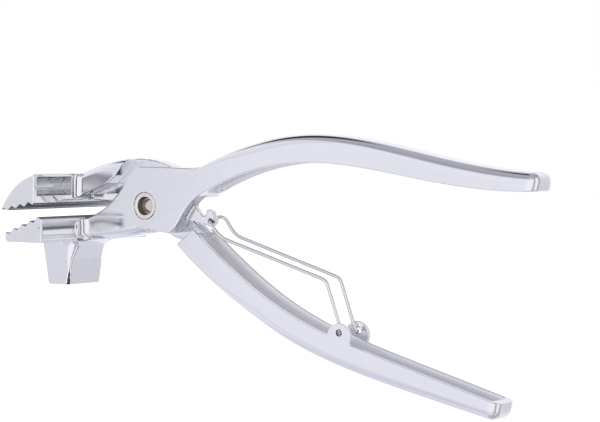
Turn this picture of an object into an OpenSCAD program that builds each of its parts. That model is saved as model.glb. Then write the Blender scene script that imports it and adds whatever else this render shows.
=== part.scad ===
// Canvas pliers: two cast levers lapped half over half on a hollow rivet, with wide toothed jaws,
// a hammer block, troughed handles and a wire return spring.
// The origin is the centre of the rivet. The jaws point to -X, the handles to +X and +Z is up.
// Lever A carries the lower jaw, the block, the near cheek and the upper handle.
// Lever B carries the upper jaw, the far cheek and the lower handle.

/* [Jaws] */
// Width of both jaws
jaw_w = 60; // [50:1:80]
// Distance from one tooth to the next along the gripping face
tooth_pitch = 3.85; // [3.4:0.05:4]
// Height of a tooth
tooth_h = 1.3; // [0.8:0.1:1.4]
// Slope of the lower gripping face
grip_slope = 21.5; // [20:0.5:23]
// Angle by which the handles close from the open rest
close_angle = 10.5; // [9:0.5:10.5]
// Play left between the teeth of shut jaws
bite_play = 0.25; // [0.15:0.05:0.4]
// Thickness of the end walls that close the groove in the back of the upper jaw
end_wall = 1.6; // [1.2:0.1:2.5]

/* [Levers] */
// Width of the necks, the lap and the handles
body_w = 13.2; // [12.8:0.1:14]
// Gap between the two faces of the lap
lap_gap = 0.1; // [0.06:0.02:0.2]
// Width of the lips on both sides of a handle's trough, and thickness of the spring ears
wall = 1.5; // [1.2:0.1:1.6]
// Depth of the round trough along a handle's open side
trough = 3.6; // [2.5:0.1:3.8]
// Rounding of a handle's outer corners, past its crisp root
edge_r = 3.8; // [2.5:0.1:4]
// Radius of the fillets where the necks meet the jaws
root_r = 3; // [2:0.5:4]

/* [Hammer block] */
// Width of the hammer block at its striking face
block_w = 17.8; // [16:0.2:19]
// Width of the hammer block where it meets the jaw
block_top_w = 19.4; // [18:0.2:22]
// Height at which the block's striking face lies
block_z = -29; // [-32:0.5:-27]

/* [Rivet] */
// Diameter of the hole through the hollow rivet
bore_d = 6.2; // [5.5:0.1:6.4]
// Outer diameter of the rivet's tube
tube_d = 7.6; // [7.4:0.1:8]
// Diameter of the rivet's rolled rims
rim_d = 9.2; // [8.8:0.1:9.6]
// Depth of the sinking that each rim lies in
sink = 0.7; // [0.5:0.1:0.9]
// Running play between the rivet and lever B, on the radius
run_play = 0.05; // [0.03:0.01:0.08]

/* [Spring] */
// Diameter of the spring wire
wire_d = 1.3; // [1:0.1:1.4]
// Distance of each leg from the middle plane
leg_y = 4.35; // [4.2:0.05:4.4]

/* [Hidden] */
$fn = 64;
half = body_w / 2;
jaw_half = jaw_w / 2;
inner = half - wall;
trough_r = (inner * inner + trough * trough) / (2 * trough);
trough_rim = asin((trough_r - trough) / trough_r);
stations = 24;

// First tooth of the lower jaw, and where its back, front and underside lie
tip = [-43.5, -9.5];
lower_back = -27;
lower_front = -43.8;
lower_bottom = -13.1;
teeth = 5;
// A valley lies this share of a pitch behind its tooth
valley_at = 0.46;

// Sides of the hammer block seen from the side: its front at the striking face, and its leaning back
block_front = -41.7;
block_back = [[-32.4, block_z], [-30.9, -19.7], [-29.3, -16], [-28, lower_bottom]];

// Upper jaw, in the open rest: its back, its top and the circle of its nose
upper_back = -30.4;
// Height at which its underside meets its back, above the last tooth
upper_heel = 0.85;
upper_top = 11;
nose_c = [-25.3, -11];
nose_r = 22.3;
// Heights between which the root fillets of the upper jaw stand
fillet_from = 3.4;
fillet_to = 10.4;
// Round groove in the back of the upper jaw, and the circle that keeps a wall between it and the nose
groove_c = [-30.9, 6.85];
groove_r = 3.45;
groove_limit_c = [-25.3, -8.3];
groove_limit_r = 19.1;
// Round scoop in the back of the lower jaw, and how far it stops short of the end
scoop_c = [-23.9, -8.65];
scoop_r = 4.45;
scoop_end = 0.9;

// Radii of lever B's hub above and below the pivot, and the play round it in lever A
hub_top_r = 15.2;
hub_low_r = 8.6;
hub_play = 0.35;
// Distance from the hub to the far root of the upper handle
far_root_play = 2.4;

// Handle outlines as cubic curves: the edge on the open side and the rounded outer edge
upper_in = [[23.9, 4.5], [70.7, 29.2], [103, 6], [152.2, 8]];
upper_out = [[23.8, 13.9], [73.1, 39], [101.1, 15.8], [153.6, 13.8]];
lower_in = [[21, -7.7], [60.66, -40.65], [71.76, -39.79], [140.2, -59.3]];
lower_out = [[13.7, -13.1], [55, -48.9], [72, -50.65], [139, -65.4]];
// Shares of a handle's length between which its trough is cut: past the root, and short of the closed end
hollow_from = -0.5 / stations;
hollow_to = (stations - 0.5) / stations;
// Rounding of the outer corners at the root, and the share of the length over which it grows to the full one
root_edge_r = 0.6;
edge_grows_over = 0.22;

// Spring lug of lever A: its two faces, and its wire hole
lug_y = [-3, -0.15];
lug_hole = [26, -4.9];
lug_hole_d = 2.2;
// Circles of its lower and upper ends, and the points of the cheek's edge that it grows from
lug_low_c = [25.75, -4.75];
lug_low_r = 1.95;
lug_top_c = [25.2, -2.2];
lug_top_r = 1.5;
lug_from = 5;
lug_to = 9;
lug_heel = [20.3, -5.3];
// Centres of the spring ears on lever B, of their wire holes, and the stations that they stand on
ear_c = [80.7, -41.4];
ear_r = 4.6;
ear_hole = [80.8, -40.2];
ear_from = 13;
ear_to = 16;
hole_play = 0.15;

function turn(p, a) = [p.x * cos(a) - p.y * sin(a), p.x * sin(a) + p.y * cos(a)];
function arc(c, r, a0, a1, n = 16) =
    [for (i = [0:n]) c + r * [cos(a0 + (a1 - a0) * i / n), sin(a0 + (a1 - a0) * i / n)]];
function curve(p, t) = p[0] * pow(1 - t, 3) + 3 * p[1] * pow(1 - t, 2) * t
    + 3 * p[2] * (1 - t) * t * t + p[3] * t * t * t;
function curve_points(p, n = 16) = [for (i = [0:n]) curve(p, i / n)];
function back_to_front(list) = [for (i = [len(list) - 1:-1:0]) list[i]];

// Concave edge of the near cheek, from its underside up to the root of the upper handle
cheek_edge = curve_points([[10.2, -9.4], [16.6, -6.2], [14.8, -0.9], upper_in[0]], 12);

// Tooth line of the lower jaw from its tip to its ridge, lifted by a play
along = [cos(grip_slope), sin(grip_slope)];
up = [-sin(grip_slope), cos(grip_slope)];
function tooth_line(play) = [for (i = [0:teeth - 1]) each [
    tip + along * tooth_pitch * i + up * play,
    tip + along * tooth_pitch * (i + valley_at) + up * (play - tooth_h)]];
lower_teeth = [for (i = [0:2 * teeth - 2]) tooth_line(0)[i]];
// The upper jaw's teeth are the gaps of the lower ones, turned back by the closing angle
upper_teeth = [for (i = [0:2 * teeth - 3]) turn(tooth_line(bite_play)[i], -close_angle)];

// Slab between two Y values of an outline that is drawn in X and Z
module slab(y0, y1) {
    translate([0, y1, 0])
        rotate([90, 0, 0])
            linear_extrude(height = y1 - y0)
                children();
}

// Round hole along Y through a point in X and Z
module hole(at, d) {
    translate([at.x, 0, at.y])
        rotate([90, 0, 0])
            cylinder(d = d, h = jaw_w, center = true);
}

// Concave fillets between a neck's two sides and the back of its jaw
module root_fillets(x, z0, z1) {
    for (side = [-1, 1])
        on_side(side)
            translate([x, half, z0])
                linear_extrude(height = z1 - z0)
                    difference() {
                        square(root_r);
                        translate([root_r, root_r])
                            circle(root_r);
                    }
}

// The child as it is, or mirrored to the other side of the middle plane
module on_side(side) {
    if (side > 0) children();
    else mirror([0, 1, 0]) children();
}

// Section of a handle that is h deep with outer corners of radius r, as points of [Y, depth below the open edge]
function solid_section(h, r) = concat(
    [[-half, 0]],
    arc([r - half, h - r], r, 180, 90, 6),
    arc([half - r, h - r], r, 90, 0, 6),
    [[half, 0]]);
// Radius of those corners at a share of the handle's length
function corner_r(t) = root_edge_r + (edge_r - root_edge_r) * min(1, max(0, t) / edge_grows_over);
// Section of the round trough in it, drawn past the open edge
trough_section = concat(
    [[-inner, -1]],
    arc([0, trough - trough_r], trough_r, 180 - trough_rim, trough_rim, 6),
    [[inner, -1]]);

// Solid swept along a handle's two edges between two shares of its length
module sweep(open_edge, outer_edge, t0, t1, is_trough) {
    steps = round((t1 - t0) * stations);
    rings = [for (i = [0:steps])
        let (t = t0 + (t1 - t0) * i / steps,
            a = curve(open_edge, t),
            b = curve(outer_edge, t),
            h = norm(b - a))
        [for (q = is_trough ? trough_section : solid_section(h, corner_r(t)))
            let (p = a + (b - a) * q.y / h) [p.x, q.x, p.y]]];
    n = len(rings[0]);
    side_faces = [for (i = [0:steps - 1], j = [0:n - 1]) let (k = (j + 1) % n)
        each [[i * n + j, i * n + k, (i + 1) * n + k], [i * n + j, (i + 1) * n + k, (i + 1) * n + j]]];
    faces = concat(side_faces, [[for (j = [n - 1:-1:0]) j]], [[for (j = [0:n - 1]) steps * n + j]]);
    outer_is_below = (outer_edge[0] - open_edge[0]).y < 0;
    polyhedron(
        [for (ring = rings) each ring],
        outer_is_below ? [for (f = faces) back_to_front(f)] : faces,
        convexity = 6);
}

// Handle: a bar with rounded outer corners and a trough along its open side, closed at its end
module handle(open_edge, outer_edge) {
    difference() {
        sweep(open_edge, outer_edge, 0, 1, false);
        sweep(open_edge, outer_edge, hollow_from, hollow_to, true);
    }
}

module lower_jaw() {
    color("gainsboro")
        difference() {
            slab(-jaw_half, jaw_half)
                polygon(concat(lower_teeth, [[lower_back, -4.7], [lower_back, lower_bottom],
                    [lower_front + 0.8, lower_bottom], [lower_front, lower_bottom + 0.8],
                    [lower_front, tip.y - 0.6]]));
            for (side = [-1, 1])
                on_side(side)
                    slab(half + root_r, jaw_half - scoop_end)
                        translate(scoop_c)
                            circle(scoop_r);
        }
}

// Tapered block that drives tacks, hanging below the middle of the lower jaw
module hammer_block() {
    color("gainsboro")
        intersection() {
            slab(-block_top_w / 2, block_top_w / 2)
                polygon(concat([[lower_front, lower_bottom], [block_front, block_z]], block_back));
            translate([lower_front - 1, 0, 0])
                rotate([90, 0, 90])
                    linear_extrude(height = lower_back - lower_front + 2)
                        polygon([[-block_w / 2, block_z], [block_w / 2, block_z],
                            [block_top_w / 2, lower_bottom], [-block_top_w / 2, lower_bottom]]);
        }
}

// Neck and lap of lever A: the near half reaches the handle, the far half stops below lever B's hub
module near_cheek() {
    heel = [-1.3, -9.6];
    underside = curve_points([[lower_back, -12.6], [-18.4, -12.3], [-9.6, -12], heel], 8);
    color("silver")
        difference() {
            union() {
                slab(-half, -lap_gap / 2)
                    polygon(concat(
                        underside,
                        [[-1, -7.9], [2.3, -8.1], [5.4, -8.8]],
                        cheek_edge,
                        [upper_out[0], [20.4, 13.4], [8.8, 13.7]],
                        arc([-2.2, 9.7], 4, 90, 143, 4),
                        back_to_front(curve_points([[lower_back, -5], [-15.5, -2.1], [-12.5, 3.8],
                            [-6.2, 11.2]], 12))));
                slab(-lap_gap / 2, half)
                    polygon(concat(
                        underside,
                        arc([0, 0], hub_low_r + hub_play, 261.7, 211.7, 8),
                        [[-17.8, -2.95], [lower_back, -5]]));
                slab(-lap_gap / 2, half)
                    polygon(concat(
                        arc([0, 0], hub_top_r + far_root_play, 22, 50.7, 8),
                        [[20.4, 13.4], upper_out[0], upper_in[0], [22.3, 3.3]]));
                root_fillets(lower_back, lower_bottom + 1.5, -5.6);
            }
            hole([0, 0], tube_d);
            translate([0, -half - 1, 0])
                rotate([-90, 0, 0])
                    cylinder(d = rim_d + 0.4, h = 1 + sink);
        }
}

module upper_handle() {
    color("gainsboro")
        handle(upper_in, upper_out);
}

// Finger of lever A that hangs in the lap's notch and takes the closed end of the spring
module spring_lug() {
    color("silver")
        difference() {
            slab(lug_y[0], lug_y[1])
                polygon(concat(
                    [for (i = [lug_from:lug_to]) cheek_edge[i]],
                    [[20.2, -0.9], [22.2, -2.9], [23.7, -2.9]],
                    arc(lug_top_c, lug_top_r, 180, 10, 10),
                    arc(lug_low_c, lug_low_r, 5, -125, 8),
                    [lug_heel]));
            hole(lug_hole, lug_hole_d);
        }
}

// Hollow rivet with a rolled rim sunk into each cheek
module pivot_rivet() {
    rim = (rim_d - tube_d) / 2;
    color("darkgray")
        difference() {
            union() {
                rotate([90, 0, 0])
                    cylinder(d = tube_d, h = body_w, center = true);
                for (side = [-1, 1])
                    on_side(side)
                        translate([0, half, 0])
                            rotate([90, 0, 0])
                                cylinder(d = rim_d, h = sink - (side > 0 ? lap_gap / 2 : 0));
            }
            hole([0, 0], bore_d);
        }
}

module upper_jaw() {
    color("gainsboro")
        difference() {
            slab(-jaw_half, jaw_half)
                polygon(concat(
                    upper_teeth,
                    [[upper_back, upper_heel], [upper_back, upper_top], [-31.2, upper_top]],
                    arc(nose_c, nose_r, 106, 154.5, 20),
                    [[-45.3, -2]]));
            for (side = [-1, 1])
                on_side(side)
                    slab(half + root_r, jaw_half - end_wall)
                        intersection() {
                            translate(groove_c)
                                circle(groove_r);
                            translate(groove_limit_c)
                                circle(groove_limit_r);
                        }
        }
}

// Neck and lap of lever B: full width at the jaw, then the far half alone round the pivot
module far_cheek() {
    neck_top = curve_points([[upper_back, upper_top], [-19.8, 14.6], [-8.7, 19], [4.9, 14.4]], 14);
    color("silver")
        difference() {
            union() {
                slab(lap_gap / 2, half)
                    polygon(concat(
                        neck_top,
                        arc([0, 0], hub_top_r, 71, -15, 16),
                        [lower_in[0], lower_out[0], [9.5, -11.8], [5.6, -9.9]],
                        arc([0, 0], hub_low_r, 275, 200, 10),
                        [[-18, 0.8], [-26.5, 1.3], [-29.4, 1.8], [upper_back, upper_heel]]));
                slab(-half, lap_gap / 2)
                    polygon(concat(
                        [for (p = neck_top) if (p.x < -8.9) p],
                        [[-8.9, 15.8], [-13.1, 10.4], [-16.9, 7.7], [-22.8, 5.4], [upper_back, 2.4]]));
                root_fillets(upper_back, fillet_from, fillet_to);
            }
            hole([0, 0], tube_d + 2 * run_play);
            translate([0, half - sink, 0])
                rotate([-90, 0, 0])
                    cylinder(d = rim_d + 0.4, h = 1 + sink);
        }
}

module lower_handle() {
    color("gainsboro")
        handle(lower_in, lower_out);
}

// Round ear that stands on a side wall of the lower handle, with the hole for a spring hook
module spring_ear(side) {
    color("gainsboro")
        on_side(side)
            difference() {
                slab(inner, half)
                    polygon(concat(
                        [for (i = [ear_from:ear_to]) curve(lower_in, i / stations)],
                        arc(ear_c, ear_r, 0, 165, 18)));
                hole(ear_hole, wire_d + 2 * hole_play);
            }
}

module near_spring_ear() spring_ear(-1);
module far_spring_ear() spring_ear(1);

// Route of the spring wire as [X, Y, Z], from the hook in the near ear to the hook in the far ear
hook_y = half + 0.3;
route = [
    [ear_hole.x, -hook_y, ear_hole.y],
    [ear_hole.x, -leg_y, ear_hole.y],
    [74.4, -leg_y, -23],
    [31.3, -leg_y, -10.1],
    [27.1, -leg_y, -5.7],
    [lug_hole.x, lug_y[0] - 0.9, lug_hole.y],
    [lug_hole.x, lug_y[1] + 0.9, lug_hole.y],
    [25.2, 2.6, -3.3],
    [26.9, leg_y, -3.7],
    [31.4, leg_y, -9.7],
    [74.4, leg_y, -22.7],
    [ear_hole.x, leg_y, ear_hole.y],
    [ear_hole.x, hook_y, ear_hole.y]];
// How far each bend begins before its corner
bend = [0, 0.8, 3, 3, 0.6, 0.7, 0.7, 0.9, 1.2, 3, 3, 0.8, 0];
bend_steps = 5;
wire_sides = 8;

function unit(v) = v / norm(v);
// The route with each inner corner replaced by a short quadratic curve
wire_points = concat([route[0]],
    [for (i = [1:len(route) - 2])
        let (p = route[i] + unit(route[i - 1] - route[i]) * bend[i],
            q = route[i] + unit(route[i + 1] - route[i]) * bend[i])
        for (k = [0:bend_steps]) let (t = k / bend_steps)
            p * pow(1 - t, 2) + route[i] * 2 * t * (1 - t) + q * t * t],
    [route[len(route) - 1]]);
wire_tangents = [for (i = [0:len(wire_points) - 1])
    unit(wire_points[min(i + 1, len(wire_points) - 1)] - wire_points[max(i - 1, 0)])];
// Side direction carried along the wire without twisting it
function carried(i, v) = i == 0 ? v
    : let (w = carried(i - 1, v)) unit(w - wire_tangents[i] * (w * wire_tangents[i]));
first_side = [0, 0, 1];
wire_rings = [for (i = [0:len(wire_points) - 1])
    let (u = carried(i, first_side), v = cross(wire_tangents[i], u))
    [for (j = [0:wire_sides - 1]) let (a = 360 * j / wire_sides)
        wire_points[i] + (u * cos(a) + v * sin(a)) * wire_d / 2]];
leg_gap = 2 * leg_y - wire_d;
echo(least_gap_between_the_legs = leg_gap);

// Hairpin of bent wire: a bowed strut between the lug of lever A and the two ears of lever B
module return_spring() {
    n = wire_sides;
    last = len(wire_rings) - 1;
    color("lightgray")
        polyhedron(
            [for (ring = wire_rings) each ring],
            concat(
                [for (i = [0:last - 1], j = [0:n - 1])
                    let (k = (j + 1) % n, a = i * n, b = (i + 1) * n)
                    each [[a + j, b + k, a + k], [a + j, b + j, b + k]]],
                [[for (j = [0:n - 1]) j]],
                [[for (j = [n - 1:-1:0]) last * n + j]]),
            convexity = 6);
}

lower_jaw();
hammer_block();
near_cheek();
upper_handle();
spring_lug();
pivot_rivet();
upper_jaw();
far_cheek();
lower_handle();
near_spring_ear();
far_spring_ear();
return_spring();
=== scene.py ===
import math

import bmesh
import bpy
import numpy as np
from mathutils import Matrix


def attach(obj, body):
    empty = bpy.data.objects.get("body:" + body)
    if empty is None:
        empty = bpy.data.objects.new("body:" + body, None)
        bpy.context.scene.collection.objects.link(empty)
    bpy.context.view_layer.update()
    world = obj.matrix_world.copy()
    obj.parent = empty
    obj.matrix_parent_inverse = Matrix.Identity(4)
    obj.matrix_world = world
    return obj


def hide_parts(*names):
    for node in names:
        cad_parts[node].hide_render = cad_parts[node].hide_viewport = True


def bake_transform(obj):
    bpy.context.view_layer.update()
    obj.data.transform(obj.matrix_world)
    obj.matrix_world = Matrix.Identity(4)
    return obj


# Canvas pliers: chromed castings, a hollow rivet and a wire spring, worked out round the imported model.
# Lengths in the dictionaries are millimetres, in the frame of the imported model.
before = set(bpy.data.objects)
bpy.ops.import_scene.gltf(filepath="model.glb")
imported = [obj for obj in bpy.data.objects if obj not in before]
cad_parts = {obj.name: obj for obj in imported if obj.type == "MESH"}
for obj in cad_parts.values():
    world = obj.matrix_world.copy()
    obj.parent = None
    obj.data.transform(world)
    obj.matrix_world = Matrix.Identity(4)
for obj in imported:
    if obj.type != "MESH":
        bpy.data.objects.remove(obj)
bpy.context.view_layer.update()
print("stage: frame loaded")

metresPerMm = 0.001
tiny = 1e-12   # what counts as no length at all

# the castings' common sizes
lever = {
    "halfWidth": 6.6,       # of the necks, the lap and the handles
    "lapGap": 0.1,
    "wall": 1.5,            # lips of a handle's trough
    "trough": 3.6,          # depth of the round trough along a handle
    "troughEndRound": 1.6,  # corner at the trough's closed end
    "troughStartRound": 3,
    "lipRound": 0.3,        # inner edges of the lips
    "openRound": 0.35,      # outer edges of the lips
    "handleRound": 3.8,     # outer corners of a handle
    "rootCorner": 0.6,      # the same at its root
    "rootSpan": (20, 48),   # the corners grow between these X
    "tipRound": 3.4,        # corners round a handle's closed end
    "faceRound": 0.55,      # edges of the flat cheeks
    "rootRound": 3.0,       # fillet between a neck's side and its jaw
    "filletSkin": 1,        # how far that fillet runs on into the jaw
    "filletReach": 20,      # and to each side of the middle
    "filletEdge": 0.4,      # rounding of its upper and lower ends
    "tubeHole": 3.8,        # radius of the hole for the rivet
    "rivetPlay": 0.05,      # what lever B's hole is larger by
    "sinkRadius": 4.85,     # shallow sinking for the rivet's rim
    "sinkDepth": 0.7,
    "sinkRound": 0.12,
    "halfOverlap": 3,       # how far one half of a neck runs on into the other past the middle
    "headEnd": 27,          # past this X there are only handles
}
teeth = {"tip": (-43.5, -9.5), "pitch": 3.85, "height": 1.3, "slope": 21.5, "count": 5, "valleyAt": 0.46,
         "play": 0.25, "closing": 10.5}


# Outlines
def cubic(p, steps=24):
    # cubic curve: the four corners weighted by the third powers of t and 1 - t
    t = np.linspace(0, 1, steps + 1)[:, None]
    p = np.array(p, float)
    return p[0] * (1 - t) ** 3 + 3 * p[1] * t * (1 - t) ** 2 + 3 * p[2] * t ** 2 * (1 - t) + p[3] * t ** 3


def arc(centre, radius, start, end, steps=24):
    a = np.radians(np.linspace(start, end, steps + 1))
    return np.array(centre) + radius * np.stack([np.cos(a), np.sin(a)], 1)


def turned(points, degrees):
    a = math.radians(degrees)
    return np.array(points) @ np.array([[math.cos(a), math.sin(a)], [-math.sin(a), math.cos(a)]])


def joined(*parts):
    return np.concatenate([np.atleast_2d(np.array(p, float)) for p in parts])


def toothLine(play):
    # tips on a sloping line, each followed by a valley that lies a tooth's height below that line
    s = math.radians(teeth["slope"])
    along = np.array([math.cos(s), math.sin(s)])
    up = np.array([-math.sin(s), math.cos(s)])
    tip = np.array(teeth["tip"]) + up * play
    n = np.arange(teeth["count"])[:, None]
    tips = tip + along * teeth["pitch"] * n
    valleys = tip + along * teeth["pitch"] * (n + teeth["valleyAt"]) - up * teeth["height"]
    return np.stack([tips, valleys], 1).reshape(-1, 2)


def softened(points, radius, steps=5):
    # each corner of a closed outline becomes a short parabola that touches both of its sides
    p = np.array(points, float)
    before, after = np.roll(p, 1, 0) - p, np.roll(p, -1, 0) - p
    lenBefore, lenAfter = np.linalg.norm(before, axis=1), np.linalg.norm(after, axis=1)
    u, v = before / lenBefore[:, None], after / lenAfter[:, None]
    half = np.arccos(np.clip((u * v).sum(1), -1, 1)) / 2
    reach = np.minimum(radius / np.tan(np.maximum(half, 1e-3)), 0.45 * np.minimum(lenBefore, lenAfter))
    t = np.linspace(0, 1, steps + 1)[None, :, None]
    start, end = (p + u * reach[:, None])[:, None], (p + v * reach[:, None])[:, None]
    return (start * (1 - t) ** 2 + 2 * p[:, None] * t * (1 - t) + end * t ** 2).reshape(-1, 2)


# Fields: below zero inside the metal, in millimetres from its surface
def insideOutline(x, z, outline):
    # signed distance to a closed outline: the nearest of its sides, with the sign from counted crossings
    x, z = np.broadcast_arrays(x, z)
    best = np.full(x.shape, 1e12)
    inside = np.zeros(x.shape, bool)
    for (ax, az), (bx, bz) in zip(outline, np.roll(outline, 1, 0)):
        ex, ez, wx, wz = bx - ax, bz - az, x - ax, z - az
        size = ex * ex + ez * ez
        if size < tiny:
            continue
        t = np.clip((wx * ex + wz * ez) / size, 0, 1)
        best = np.minimum(best, (wx - ex * t) ** 2 + (wz - ez * t) ** 2)
        inside ^= ((az > z) != (bz > z)) & (wx < ex * wz / (ez if ez else tiny))
    return np.where(inside, -1, 1) * np.sqrt(best)


def heightCurve(p, reach=60):
    # a cubic curve kept as heights over x, with its ends carried on along their slopes
    c = cubic(p, 160)
    slope = np.gradient(c[:, 1], c[:, 0])
    x = np.concatenate([[c[0, 0] - reach], c[:, 0], [c[-1, 0] + reach]])
    z = np.concatenate([[c[0, 1] - reach * slope[0]], c[:, 1], [c[-1, 1] + reach * slope[-1]]])
    return x, z, np.concatenate([slope[:1], slope, slope[-1:]])


def above(x, z, curve):
    # distance above a height curve: the difference in height times the cosine of the slope
    s = np.interp(x, curve[0], curve[2])
    return (z - np.interp(x, curve[0], curve[1])) / np.sqrt(1 + s * s)


def beyond(x, z, start, end):
    # distance to the left of the line from start to end
    dx, dz = end[0] - start[0], end[1] - start[1]
    return ((z - start[1]) * dx - (x - start[0]) * dz) / math.hypot(dx, dz)


def both(a, b, radius):
    # what lies in both shapes, with the edge between them rounded to a true radius
    rounding = np.hypot(np.maximum(radius + a, 0), np.maximum(radius + b, 0))
    return np.minimum(-radius, np.maximum(a, b)) + rounding


def either(a, b, radius):
    # what lies in either shape, with a fillet of that radius in the corner between them
    rounding = np.hypot(np.maximum(radius - a, 0), np.maximum(radius - b, 0))
    return np.maximum(radius, np.minimum(a, b)) - rounding


def between(y, low, high):
    return np.maximum(low - y, y - high)


def disc(x, z, centre, radius):
    return np.hypot(x - centre[0], z - centre[1]) - radius


def ramp(x, start, end):
    # smooth step from 0 at start to 1 at end
    t = np.clip((x - start) / (end - start), 0, 1)
    return t * t * (3 - 2 * t)


# One skin round a field
def lattice(*stretches):
    # coordinates that run through (from, to, step) stretches one after the other
    parts = [np.linspace(a, b, max(2, round((b - a) / step) + 1))[:-1] for a, b, step in stretches]
    return np.concatenate(parts + [[stretches[-1][1]]])


def sampled(field, xs, ys, zs):
    # the field on the lattice; past the head only the narrow middle of it can hold metal
    f = np.full((len(xs), len(ys), len(zs)), 9, np.float32)
    head, middle = np.searchsorted(xs, lever["headEnd"]), np.abs(ys) < lever["halfWidth"] + 1
    x, y, z = (g.astype(np.float32) for g in (xs, ys, zs))
    f[:head] = field(x[:head, None, None], y[None, :, None], z[None, None, :])
    f[head:, middle] = field(x[head:, None, None], y[None, middle, None], z[None, None, :])
    return f


def skinOf(field, xs, ys, zs):
    # one corner for each cell of the lattice that the surface runs through, at the mean of the points where
    # the cell's edges cross zero, and a four-sided face round each crossed edge; the corners are then
    # carried along the field's slope onto the surface, and that slope is the normal there
    f = sampled(field, xs, ys, zs)
    spots, rings = [], []
    for axis in range(3):
        low = tuple(slice(0, -1) if a == axis else slice(None) for a in range(3))
        high = tuple(slice(1, None) if a == axis else slice(None) for a in range(3))
        at = np.argwhere((f[low] < 0) != (f[high] < 0))
        first, second = f[low][tuple(at.T)], f[high][tuple(at.T)]
        spot = np.stack([g[i] for g, i in zip((xs, ys, zs), at.T)], 1)
        grid = (xs, ys, zs)[axis]
        spot[:, axis] += (grid[at[:, axis] + 1] - grid[at[:, axis]]) * first / (first - second)
        ring = []
        for left, down in ((1, 1), (0, 1), (0, 0), (1, 0)):
            cell = at.copy()
            cell[:, (axis + 1) % 3] -= left
            cell[:, (axis + 2) % 3] -= down
            ring.append(np.ravel_multi_index(cell.T, f.shape))
        ring = np.stack(ring, 1)
        ring[first > 0] = ring[first > 0][:, ::-1]
        spots.append(np.repeat(spot, 4, 0))
        rings.append(ring)
    _, index = np.unique(np.concatenate([r.ravel() for r in rings]), return_inverse=True)
    count = np.bincount(index)
    p = np.stack([np.bincount(index, w) / count for w in np.concatenate(spots).T], 1)
    p = ontoSurface(field, ontoSurface(field, p))
    normal = gradient(field, p, h=0.03)
    normal /= np.maximum(np.linalg.norm(normal, axis=1, keepdims=True), 1e-9)
    return p, index.reshape(-1, 4), normal


def gradient(field, p, h):
    steps = np.eye(3) * h
    return np.stack([field(*(p + s).T) - field(*(p - s).T) for s in steps], 1) / (2 * h)


leastSlope, longestStep = 0.2, 0.2   # keep a step short where a field is flat


def ontoSurface(field, p, h=0.04):
    # one step along the slope, whose length is the field's value over the slope's
    value = field(*p.T)
    slope = np.stack([field(*(p + s).T) - value for s in np.eye(3) * h], 1) / h
    step = value[:, None] * slope / np.maximum((slope ** 2).sum(1, keepdims=True), leastSlope)
    return p - np.clip(step, -longestStep, longestStep)


def cutClean(points, faces, mine, others, field, region):
    # the corners along a cut are brought onto both the region's edge and the surface, so the cut runs clean
    shared = np.intersect1d(faces[mine], faces[others])
    p = points[shared]
    for _ in range(3):
        p = ontoSurface(field, ontoSurface(region, p))
    points[shared] = ontoSurface(region, p)


def ringFaces(rings, sides, closed):
    # four-sided faces between neighbouring rings of points; closed joins the last ring to the first
    i, j = np.meshgrid(np.arange(rings if closed else rings - 1), np.arange(sides), indexing="ij")
    here, there, right = i * sides, (i + 1) % rings * sides, (j + 1) % sides
    return np.stack([here + j, here + right, there + right, there + j], 2).reshape(-1, 4)


def pieceOf(name, points, faces, normals=None, **finish):
    # a named object from arrays in millimetres, smooth shaded, with holes left by a cut closed; finish holds
    # a value for each point: painted shade from 0 to 1, which also roughens the plating; satin, from 0 to 1
    # where the wheel didn't reach; and grain, the height in metres across the wipe marks
    used, index = np.unique(faces, return_inverse=True)
    index = index.reshape(faces.shape)
    mesh = bpy.data.meshes.new(name)
    mesh.vertices.add(len(used))
    mesh.vertices.foreach_set("co", (points[used] * metresPerMm).astype(np.float32).ravel())
    sides = faces.shape[1]
    mesh.loops.add(index.size)
    mesh.loops.foreach_set("vertex_index", index.ravel().astype(np.int32))
    mesh.polygons.add(len(index))
    mesh.polygons.foreach_set("loop_start", np.arange(0, index.size, sides, dtype=np.int32))
    mesh.update(calc_edges=True)
    mesh.validate()
    for layer, values in finish.items():
        mesh.attributes.new(layer, "FLOAT", "POINT")
        mesh.attributes[layer].data.foreach_set("value", values[used].astype(np.float32))
    bm = bmesh.new()
    bm.from_mesh(mesh)
    rims = [e for e in bm.edges if e.is_boundary]
    if rims:
        bmesh.ops.holes_fill(bm, edges=rims)
    bm.to_mesh(mesh)
    bm.free()
    mesh.shade_smooth()
    if normals is not None:
        mesh.normals_split_custom_set_from_vertices(normals[used].tolist())
    obj = bpy.data.objects.new(name, mesh)
    bpy.context.scene.collection.objects.link(obj)
    return obj


def setOnBody(obj, material, body, node):
    obj.data.materials.append(material)
    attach(obj, body)
    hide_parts(node)


# Materials
plating = {
    "wipeGrain": (22, 500, 650),      # grains to the metre along X, along Y and across a handle
    "hazeGrain": (90, 90, 90),
    "waveGrain": (140, 140, 140),
    "haze": 0.06,                     # what the haze adds to the roughness
    "dullRough": 0.27,                # what a place of full painted shade adds
    "satinRough": 0.33,               # what a wholly satin place adds
    "rippleHeight": 0.0002,           # metres
    "wipeHeight": 0.05,               # share of the ripple's height
}


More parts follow.
